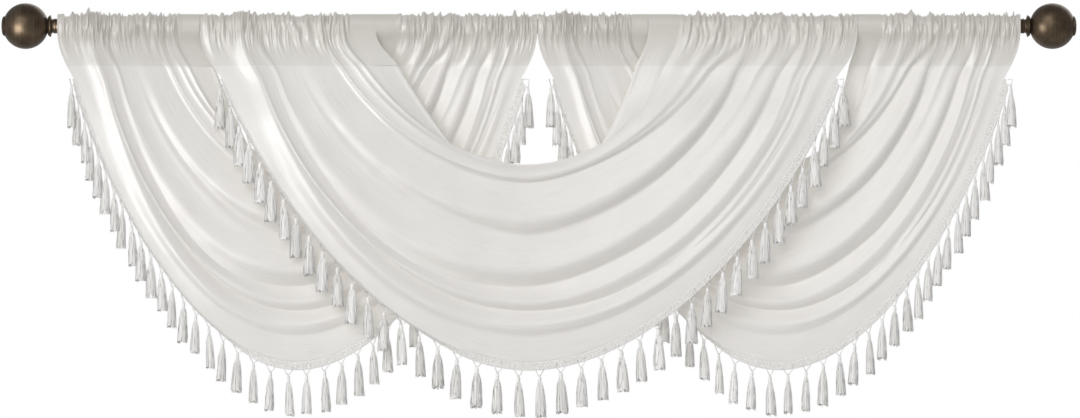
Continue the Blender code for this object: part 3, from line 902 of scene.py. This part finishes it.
@dataclass(frozen=True)
class HemPlace:
    """A place on a hem: the cloth's edge, the direction out of the cloth, and the way along."""

    edge: Vector
    out: Vector
    along: Vector
    turned: float

    def on_braid(self, share: float, width: float, proud: float) -> Vector:
        """Return a point of the braid in millimetres.

        Args:
            share: The place across the braid, from 0 at the cloth's edge to 1 at its lower edge.
            width: The braid's width.
            proud: How far the point stands forward of the braid's back.

        Returns:
            The point, with the braid turned back where the hem curls under.
        """
        front = self.out.cross(self.along).normalized()
        if front.y > 0:
            front = -front
        out = self.out * math.cos(self.turned) - front * math.sin(self.turned)
        face = front * math.cos(self.turned) + self.out * math.sin(self.turned)
        return self.edge + out * (share * width) + face * proud


@dataclass
class HemBraid:
    """The braid along one hem: a flat gimp with a twisted cord along each edge."""

    swag: Swag
    yarn: bpy.types.Material
    width: float = 20.0
    gap: float = 0.4
    top_end: float = 0.9625
    inner_share: float = 1.0 - 0.5 / (len(FOLD_LINES) - 1)
    samples: int = 400
    step: float = 1.6
    rows: int = 12
    thickness: float = 1.4
    cord_share: float = 0.14
    cord_height: float = 2.0
    cord_lowest: float = 0.8
    cord_pitch: float = 6.0
    gimp_height: float = 1.5
    gimp_lowest: float = 0.4
    gimp_pitch: float = 9.0
    loose_size: tuple = (4.0, 0.2)
    loose_share: float = 0.5
    end_taper: float = 26.0
    end_width: float = 0.3
    curl: float = 62.0
    curl_from: float = 0.30
    curl_until: float = 0.08

    def __post_init__(self) -> None:
        """Work out the hem's line once, with the way along it to each place."""
        hem, inner = fold_line_at(1.0), fold_line_at(self.inner_share)
        edges, outs, turns = [], [], []
        for sample in range(self.samples + 1):
            along = (2.0 * sample / self.samples - 1.0) * self.top_end
            side = Side.LEFT if along < 0 else Side.RIGHT
            edge = self.swag.hanging_point(side, hem, abs(along))
            edges.append(edge)
            outs.append((edge - self.swag.hanging_point(side, inner, abs(along))).normalized())
            curled = ease((-along - self.curl_until) / (self.curl_from - self.curl_until))
            turns.append(math.radians(self.curl) * curled)
        self.places = []
        self.ways = [0.0]
        for number, (edge, out, turned) in enumerate(zip(edges, outs, turns)):
            ahead = edges[min(number + 1, self.samples)] - edges[max(number - 1, 0)]
            self.places.append(HemPlace(edge + out * self.gap, out, ahead.normalized(), turned))
            if number:
                self.ways.append(self.ways[-1] + (edge - edges[number - 1]).length)
        self.length = self.ways[-1]

    def at(self, way: float) -> HemPlace:
        """Return the place that lies a way along the hem from its left top, in millimetres."""
        share = min(max(way / self.length, 0.0), 1.0) * self.samples
        number = min(int(share), self.samples - 1)
        while number > 0 and self.ways[number] > way:
            number -= 1
        while number < self.samples - 1 and self.ways[number + 1] < way:
            number += 1
        here, after = self.places[number], self.places[number + 1]
        part = (way - self.ways[number]) / (self.ways[number + 1] - self.ways[number])
        return HemPlace(here.edge.lerp(after.edge, part), here.out.lerp(after.out, part),
                        here.along.lerp(after.along, part),
                        here.turned + (after.turned - here.turned) * part)

    def pattern(self, way: float, share: float) -> tuple[float, float]:
        """Return how far the braid stands up at a place, in millimetres, and its tone there, which
        is painted lighter where the braid stands up and painted shade in its low places.
        """
        from_edge = min(share, 1.0 - share)
        if from_edge < self.cord_share:
            across = 2.0 * from_edge / self.cord_share - 1.0
            twist = 0.5 + 0.5 * math.cos(math.tau * (way / self.cord_pitch + across / 3.0))
            height = math.sqrt(max(0.0, 1.0 - across * across))
            full = self.cord_lowest + (1.0 - self.cord_lowest) * twist
            # The cord's tone is painted: a highlight on its crown and its twist's crests, painted
            # shade at its sides and in its twist's grooves.
            return self.cord_height * height * full, 0.6 - 0.5 * height * twist
        chevron = abs(share - 0.5) * self.width / self.gimp_pitch
        along, over = self.loose_size
        loose = noise.noise(Vector((way / along, share / over, self.length)))
        uneven = self.loose_share * loose
        wave = 0.5 + 0.5 * math.cos(math.tau * (way / self.gimp_pitch + chevron + uneven))
        full = self.gimp_lowest + (1.0 - self.gimp_lowest) * wave
        # The gimp's tone is painted shade in its low places and lighter on its raised chevrons,
        # with a random unevenness of the yarn on top.
        return self.gimp_height * full * (1.0 + loose), 0.95 - 0.4 * wave + uneven

    def build(self) -> bpy.types.Object:
        """Build the braid as a grid with its pattern in relief."""
        steps = round(self.length / self.step)
        places = [self.at(self.length * number / steps) for number in range(steps + 1)]
        bm = bmesh.new()
        bmesh.ops.create_grid(bm, x_segments=steps, y_segments=self.rows, size=1.0)
        tones = []
        for vert in bm.verts:
            number = round((vert.co.x + 1.0) / 2.0 * steps)
            share = (vert.co.y + 1.0) / 2.0
            way = self.length * number / steps
            relief, tone = self.pattern(way, share)
            from_end = ease(min(way, self.length - way) / self.end_taper)
            narrow = self.end_width + (1.0 - self.end_width) * from_end
            vert.co = places[number].on_braid(share * narrow, self.width, relief * narrow) * MM
            tones.append(min(max(tone, 0.0), 1.0))
        name = self.swag.name
        braid = add_piece(f"braid_{name}", bm, self.yarn)
        set_tones(braid, tones)
        thicken(braid, self.thickness)
        return braid


@dataclass
class TasselFringe:
    """The tassels along one hem. Each hangs from the braid by two threads that meet at its head."""

    braid: HemBraid
    yarn: bpy.types.Material
    seed: int
    count: int = 42
    patterns: int = 5
    flutes: int = 22
    flute_depth: float = 0.17
    lock_ends: tuple = (-9.0, 1.0)
    strands: int = 14
    strand_radius: float = 0.9
    strand_sides: int = 3
    strand_out: tuple = (0.98, 1.15)
    strand_wander: float = 0.28
    strand_wave: float = 1.7
    strand_ends: tuple = (0.88, 1.03)
    thread_radius: float = 1.5
    thread_reach: float = 11.0
    thread_tone: float = 0.3
    thread_start: tuple = (0.1, 0.95)
    thread_sag: tuple = (0.5, 3.0)
    reach_varies: tuple = (0.7, 1.1)
    first: float = 6.0
    head_below: float = 13.0
    head: tuple = ((0.0, 0.0), (2.6, -0.8), (4.0, -3.0), (4.8, -7.0), (4.4, -10.5), (3.6, -11.5),
                   (4.4, -12.5), (4.4, -15.0), (3.6, -16.0), (3.5, -18.0))
    skirt: tuple = ((3.4, -14.0), (5.4, -19.0), (7.8, -28.0), (9.8, -40.0), (11.3, -57.0),
                    (12.3, -77.0), (13.0, -97.0))
    depth_share: float = 0.5
    head_steps: int = 10
    full_half_width: float = 788.0
    lean: float = 0.05
    turned: float = 0.4
    drop_varies: tuple = (0.9, 1.15)
    width_varies: tuple = (0.9, 1.12)
    length_varies: tuple = (0.97, 1.03)
    tone_varies: float = 0.15
    head_tones: tuple = (0.1, 0.4)
    yarn_tones: tuple = (0.0, 0.5)
    # Painted shade added to the tone of the sunk locks.
    hollow_shade: float = 0.5

    def fluted_skirt(self, bm: bmesh.types.BMesh, rng: random.Random, tones: list[float]) -> None:
        """Add the bundle of yarn below a tassel's neck: a turned skirt with a flute for each lock.

        Args:
            bm: The bmesh of the tassel.
            rng: The seeded source of its unevenness.
            tones: The tone of each vertex, which grows with the bmesh.
        """
        before = len(bm.verts)
        # Every other lock sinks in, and the sunk locks get painted shade on top of their random
        # tone.
        locks = [(rng.uniform(0.6, 1.0) * self.flute_depth * (1 if lock % 2 else -1),
                  rng.uniform(*self.lock_ends),
                  rng.uniform(*self.yarn_tones) + (0.0 if lock % 2 else self.hollow_shade))
                 for lock in range(self.flutes)]
        rim_radius, rim = self.skirt[-1]
        profile = [*self.skirt, (rim_radius * 0.5, rim + 1.0)]
        turn_profile(bm, [Vector((radius, 0.0, height)) for radius, height in profile], UP,
                     self.flutes)
        bm.verts.ensure_lookup_table()
        full = -rim * MM
        for edge in bm.edges:
            edge.smooth = any(vert.co.z > 0.001 * MM - full for vert in edge.verts)
        for vert in bm.verts[before:]:
            angle = math.atan2(vert.co.y, vert.co.x)
            lock = round(angle / math.tau * self.flutes) % self.flutes
            depth, longer, tone = locks[lock]
            down = min(-vert.co.z / full, 1.0)
            vert.co.x *= 1.0 + depth * ease(2.0 * down)
            vert.co.y *= (1.0 + depth * ease(2.0 * down)) * self.depth_share
            vert.co.z -= longer * MM * ease(2.0 * down - 1.0)
            tones.append(tone)

    def pattern(self, rng: random.Random) -> tuple[bpy.types.Mesh, list[float]]:
        """Make one tassel with its head's top at the origin.

        Args:
            rng: The seeded source of its unevenness.

        Returns:
            The mesh, and the tone of each vertex.
        """
        bm = bmesh.new()
        turn_profile(bm, [Vector((radius, 0.0, height)) for radius, height in self.head], UP,
                     self.head_steps)
        bmesh.ops.remove_doubles(bm, verts=bm.verts[:], dist=0.001 * MM)
        tones = [rng.uniform(*self.head_tones)] * len(bm.verts)
        self.fluted_skirt(bm, rng, tones)
        for number in range(self.strands):
            angle = math.tau * (number + rng.uniform(-0.4, 0.4)) / self.strands
            outward = rng.uniform(*self.strand_out)
            wander = rng.uniform(-self.strand_wander, self.strand_wander)
            end = rng.uniform(*self.strand_ends)
            path = []
            for ring, (radius, height) in enumerate(self.skirt):
                swing = angle + wander * math.sin(self.strand_wave * ring + number)
                reach = radius * outward
                path.append(Vector((reach * math.cos(swing),
                                    reach * self.depth_share * math.sin(swing),
                                    height * (end if ring else 1.0))) * MM)
            draw_tube(bm, path, self.strand_radius * MM, self.strand_sides)
            tones += [rng.uniform(*self.yarn_tones)] * (len(bm.verts) - len(tones))
        bmesh.ops.holes_fill(bm, edges=[edge for edge in bm.edges if edge.is_boundary])
        bmesh.ops.recalc_face_normals(bm, faces=bm.faces[:])
        mesh = bpy.data.meshes.new("tassel pattern")
        bm.to_mesh(mesh)
        bm.free()
        return mesh, tones

    def hang(self, rng: random.Random, pattern: bpy.types.Mesh, way: float) -> bmesh.types.BMesh:
        """Hang one tassel from the braid.

        Args:
            rng: The seeded source of its unevenness.
            pattern: The tassel's mesh.
            way: How far along the hem it hangs, in millimetres.

        Returns:
            The tassel in its place, with its two threads.
        """
        braid = self.braid
        root = braid.at(way).on_braid(1.0, braid.width, 0.0)
        head = root - UP * self.head_below * rng.uniform(*self.drop_varies)
        slimness = math.sqrt(braid.swag.half_width / self.full_half_width)
        wide = slimness * rng.uniform(*self.width_varies)
        turn = Matrix.Rotation(rng.uniform(-self.turned, self.turned), 4, "Z")
        size = Matrix.Diagonal((wide, wide, rng.uniform(*self.length_varies), 1.0))
        shear = Matrix.Identity(4)
        shear[0][2] = rng.uniform(-self.lean, self.lean)
        bm = bmesh.new()
        bm.from_mesh(pattern)
        bmesh.ops.transform(bm, matrix=Matrix.Translation(head * MM) @ shear @ size @ turn,
                            verts=bm.verts[:])
        for reach in (-self.thread_reach, self.thread_reach):
            start_way = min(max(way + reach * rng.uniform(*self.reach_varies), 0.0), braid.length)
            place = braid.at(start_way)
            start = place.on_braid(rng.uniform(*self.thread_start), braid.width, 1.6)
            edge = place.on_braid(1.0, braid.width, 1.2)
            knot = head + UP * 0.5
            sag = edge.lerp(knot, 0.5) - UP * rng.uniform(*self.thread_sag)
            path = [point * MM for point in (start, edge, sag, knot - UP * 2.0)]
            draw_tube(bm, path, self.thread_radius * MM, self.strand_sides)
        bmesh.ops.holes_fill(bm, edges=[edge for edge in bm.edges if edge.is_boundary])
        return bm

    def build(self) -> bpy.types.Object:
        """Build all the tassels of one hem as one piece."""
        rng = random.Random(self.seed)
        patterns = [self.pattern(rng) for _ in range(self.patterns)]
        whole = bmesh.new()
        tones = []
        carrier = bpy.data.meshes.new("tassel in place")
        for number in range(self.count):
            way = self.first + (self.braid.length - 2 * self.first) * number / (self.count - 1)
            mesh, pattern_tones = rng.choice(patterns)
            tassel = self.hang(rng, mesh, way)
            tassel.to_mesh(carrier)
            tassel.free()
            whole.from_mesh(carrier)
            shift = rng.uniform(-self.tone_varies, self.tone_varies)
            tones += [min(max(tone + shift, 0.0), 1.0) for tone in pattern_tones]
            tones += [self.thread_tone] * (len(whole.verts) - len(tones))
        for mesh in (carrier, *(mesh for mesh, _ in patterns)):
            bpy.data.meshes.remove(mesh)
        name = self.braid.swag.name
        fringe = add_piece(f"tassels_{name}", whole, self.yarn, (f"fringe_{name}",))
        set_tones(fringe, tones)
        return fringe


@dataclass
class PocketStitching:
    """The line of stitches that closes a swag's two pockets."""

    swag: Swag
    yarn: bpy.types.Material
    pitch: float = 3.6
    stitch: float = 2.6
    thickness: float = 0.6
    proud: float = 0.2
    first: int = 2
    gathered_share: float = 0.5
    tone: float = 0.2

    def build(self) -> bpy.types.Object:
        """Build the stitches as short bars along each pocket's seam."""
        bm = bmesh.new()
        for side in Side:
            count = round(self.swag.half_width * self.gathered_share / self.pitch)
            seam = [self.swag.hanging_point(side, fold_line_at(number / count), 1.0)
                    for number in range(self.first, count)]
            for here, after in zip(seam, seam[1:]):
                along = (after - here).normalized()
                middle = here.lerp(after, 0.5) + Vector((0.0, -self.proud, 0.0))
                size = Matrix.Diagonal((self.stitch, self.thickness, self.thickness, 1.0))
                turn = Vector((1.0, 0.0, 0.0)).rotation_difference(along).to_matrix().to_4x4()
                place = Matrix.Translation(middle * MM) @ turn @ Matrix.Scale(MM, 4) @ size
                bmesh.ops.create_cube(bm, size=1.0, matrix=place)
        piece = add_piece(f"stitches_{self.swag.name}", bm, self.yarn)
        set_tones(piece, [self.tone] * len(piece.data.vertices))
        return piece


@dataclass(frozen=True)
class FlatCut:
    """The size that a swag's cloth was cut to, in metres: the hem's length, the way from neckline
    to hem, and the area, which is less because the cut tapers to the pockets and the neckline."""

    width: float
    length: float
    area: float


@dataclass
class DressedSwag:
    """One swag with all that is sewn to it."""

    shape: Swag
    satin: bpy.types.Material
    yarn: bpy.types.Material
    seed: int
    cut: FlatCut

    def build(self) -> list[bpy.types.Object]:
        """Build the swag's pieces."""
        cloth = ClothSheet(self.shape, self.satin).build()
        braid = HemBraid(self.shape, self.yarn)
        sewn_on = [braid.build(), TasselFringe(braid, self.yarn, self.seed).build(),
                   PocketStitching(self.shape, self.yarn).build()]
        return [cloth, *sewn_on]


# The pole

@dataclass
class Pole:
    """The pole with a turned collar and a ball at each end. Profiles are (x, radius) pairs."""

    bronze: bpy.types.Material
    half_length: float = 1160.0
    radius: float = 17.5
    bevel: float = 1.0
    fit_gap: float = 0.3
    sides: int = 72
    collar: tuple = ((0.0, 18.2), (2.0, 18.3), (4.0, 16.8), (6.0, 16.2), (8.0, 17.2), (9.6, 20.4),
                     (10.4, 24.6), (11.2, 26.0), (12.2, 26.5), (13.3, 26.1), (14.0, 24.9),
                     (14.5, 24.0), (15.2, 24.6), (16.0, 24.7), (16.7, 23.6), (17.4, 21.6),
                     (18.5, 21.0))
    ball_radius: float = 55.0
    ball_centre: float = 1232.0
    ball_rings: int = 30
    button_radius: float = 25.0
    button: tuple = ((50.0, 23.4), (51.8, 24.0), (54.0, 22.6), (56.3, 17.8), (57.6, 10.0),
                     (58.0, 0.0))
    sharp_angle: float = 50.0

    def turn(self, name: str, profile: list[tuple[float, float]], side: Side) -> bpy.types.Object:
        """Turn a profile round the pole's axis into a closed piece that stands for its node."""
        bm = bmesh.new()
        points = [Vector((side.value * x, 0.0, radius)) for x, radius in profile]
        turn_profile(bm, points, Vector((1.0, 0.0, 0.0)), self.sides)
        bmesh.ops.remove_doubles(bm, verts=bm.verts[:], dist=0.01 * MM)
        bmesh.ops.recalc_face_normals(bm, faces=bm.faces[:])
        piece = add_piece(f"turned_{name}", bm, self.bronze, (name,))
        piece.data.set_sharp_from_angle(angle=math.radians(self.sharp_angle))
        return piece

    def ball(self) -> list[tuple[float, float]]:
        """Return the ball's profile, from its seat on the collar to its button."""
        start = self.half_length + 2 * self.fit_gap + self.collar[-1][0]
        seat = math.acos((self.ball_centre - start) / self.ball_radius)
        end = math.asin(self.button_radius / self.ball_radius)
        profile = [(start, 0.0), (start, self.ball_radius * math.sin(seat))]
        for ring in range(1, self.ball_rings + 1):
            angle = seat + (math.pi - seat - end) * ring / self.ball_rings
            profile.append((self.ball_centre - self.ball_radius * math.cos(angle),
                            self.ball_radius * math.sin(angle)))
        return profile + [(self.ball_centre + reach, radius) for reach, radius in self.button]

    def build(self) -> list[bpy.types.Object]:
        """Build the pole, its collars and its balls."""
        end = self.half_length
        rim, bevelled = self.radius - self.bevel, end - self.bevel
        pole = [(-end, 0.0), (-end, rim), (-bevelled, self.radius), (bevelled, self.radius),
                (end, rim), (end, 0.0)]
        start = end + self.fit_gap
        collar = [(start, 0.0), *((start + along, radius) for along, radius in self.collar),
                  (start + self.collar[-1][0], 0.0)]
        pieces = [self.turn("rod", pole, Side.RIGHT)]
        for side, word in ((Side.LEFT, "left"), (Side.RIGHT, "right")):
            pieces.append(self.turn(f"collar_{word}", collar, side))
            pieces.append(self.turn(f"finial_{word}", self.ball(), side))
        return pieces


# The studio

@dataclass
class Studio:
    """A pale floor, a white surround, soft lights and the camera straight in front."""

    view_width: float = 2592.0
    view_centre: tuple = (2.4, -439.0)
    distance: float = 20000.0
    floor_height: float = -2400.0
    floor_size: float = 16000.0
    surround: float = 0.43
    key_place: tuple = (-1900.0, -4200.0, 1500.0)
    key_spread: float = 50.0
    key_power: float = 0.58
    fill_power: float = 0.82
    back_place: tuple = (1500.0, 4200.0, 1200.0)
    back_power: float = 0.70
    card_place: tuple = (-3400.0, -3250.0, -950.0)
    card_size: tuple = (2300.0, 2400.0)
    card_power: float = 240.0

    def build(self) -> None:
        """Build the whole studio."""
        self.light_surround()
        self.lay_floor()
        self.add_far_lights()
        self.add_card()
        self.add_camera()
        bpy.context.scene.view_settings.view_transform = "Standard"

    def light_surround(self) -> None:
        """Show a white background, and light the scene with a dimmer one."""
        world = bpy.data.worlds.new("white surround")
        world.use_nodes = True
        tree = world.node_tree
        tree.nodes.clear()
        seen = add_node(tree, "ShaderNodeBackground", {"Color": (1, 1, 1, 1), "Strength": 1.0})
        lit = add_node(tree, "ShaderNodeBackground", {"Color": linear("#FAFBFF"),
                                                      "Strength": self.surround})
        ray = add_node(tree, "ShaderNodeLightPath").outputs["Is Camera Ray"]
        mixed = add_node(tree, "ShaderNodeMixShader", links={
            0: ray, 1: lit.outputs[0], 2: seen.outputs[0]})
        add_node(tree, "ShaderNodeOutputWorld", links={0: mixed.outputs[0]})
        bpy.context.scene.world = world

    def lay_floor(self) -> None:
        """Lay the floor well below the hung swags."""
        bm = bmesh.new()
        place = Matrix.Translation((0.0, 0.0, self.floor_height * MM))
        bmesh.ops.create_grid(bm, x_segments=2, y_segments=2, size=self.floor_size * MM / 2,
                              matrix=place)
        mesh = bpy.data.meshes.new("floor")
        bm.to_mesh(mesh)
        bm.free()
        mesh.materials.append(PaleFloor().material())
        floor = bpy.data.objects.new("floor", mesh)
        bpy.context.collection.objects.link(floor)

    def add_far_lights(self) -> None:
        """Light all the swags evenly from the upper left, and their backs from behind."""
        for name, place, power, casts_shadow in (
                ("key", self.key_place, self.key_power, True),
                ("fill", self.key_place, self.fill_power, False),
                ("back", self.back_place, self.back_power, False)):
            light = bpy.data.lights.new(name, "SUN")
            light.angle = math.radians(self.key_spread)
            light.energy = power
            light.use_shadow = casts_shadow
            self.aim(light, place)

    def add_card(self) -> None:
        """Stand a bright card low on the left, which the satin mirrors on its steep left faces."""
        light = bpy.data.lights.new("card", "AREA")
        light.shape = "RECTANGLE"
        light.size, light.size_y = (side * MM for side in self.card_size)
        light.energy = self.card_power
        lamp = self.aim(light, self.card_place)
        lamp.visible_diffuse = False

    def aim(self, light: bpy.types.Light, place: tuple) -> bpy.types.Object:
        """Hang a light at a place, in millimetres, and turn it to the swags."""
        lamp = bpy.data.objects.new(light.name, light)
        lamp.location = Vector(place) * MM
        aim = Vector((0.0, 0.0, self.view_centre[1])) * MM - lamp.location
        lamp.rotation_euler = aim.to_track_quat("-Z", "Y").to_euler()
        lamp.visible_camera = False
        bpy.context.collection.objects.link(lamp)
        return lamp

    def add_camera(self) -> None:
        """Set the camera straight in front, with a long lens as in the photo."""
        lens = bpy.data.cameras.new("camera")
        lens.sensor_width = 36.0
        lens.lens = lens.sensor_width * self.distance / self.view_width
        lens.clip_end = 10 * self.distance * MM
        camera = bpy.data.objects.new("camera", lens)
        x, z = self.view_centre
        camera.location = Vector((x, -self.distance, z)) * MM
        camera.rotation_euler = (math.pi / 2, 0.0, 0.0)
        bpy.context.collection.objects.link(camera)
        bpy.context.scene.camera = camera


CUTS = (FlatCut(2.45, 0.63, 0.95), FlatCut(2.77, 0.64, 1.19), FlatCut(2.46, 0.63, 0.93))
SWAGS = (
    Swag("left", -580.6, 575.5, -18.0, 0.0, -14.0, -8.0, 0.85, 1.0, 1.111, 1.055),
    Swag("centre", -25.0, 788.0, 20.0, 20.0, 52.0, 47.0, 1.00, 0.0),
    Swag("right", 575.8, 578.2, -18.0, 0.0, -14.0, -8.0, 0.85, -1.0, 0.851, 1.058),
)


def main() -> None:
    """Build the pole, the three swags and the studio."""
    logging.basicConfig(level=logging.INFO, format="%(name)s: %(message)s")
    satin, yarn = Satin().material(), Yarn().material()
    Pole(BrushedBronze().material()).build()
    for seed, (shape, cut) in enumerate(zip(SWAGS, CUTS), start=3):
        DressedSwag(shape, satin, yarn, seed, cut).build()
    Studio().build()


if __name__ == "__main__":
    main()
